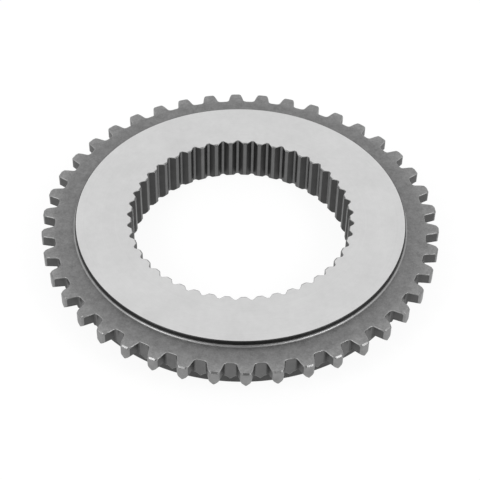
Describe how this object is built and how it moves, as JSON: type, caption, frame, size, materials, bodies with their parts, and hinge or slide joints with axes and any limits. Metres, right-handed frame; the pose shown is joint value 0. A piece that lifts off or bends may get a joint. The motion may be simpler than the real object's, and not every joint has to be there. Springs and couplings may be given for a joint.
{
  "type": "synchronizer ring",
  "caption": "Flat steel gearbox ring with a splined bore, a raised ground land and pointed dog teeth round its rim.",
  "frame": {"origin": "centre of the hub's flat face, on the ring's axis", "axes": "+Z along the ring's axis, from the hub's face to the ground land; +Y through the middle of a tooth and of a spline space"},
  "size_m": [0.1606, 0.1608, 0.019],
  "materials": {
    "steel": "blasted dark grey rim with a ground bright land"
  },
  "bodies": {
    "root": {"synchronizer_ring": "steel"}
  },
  "joints": []
}
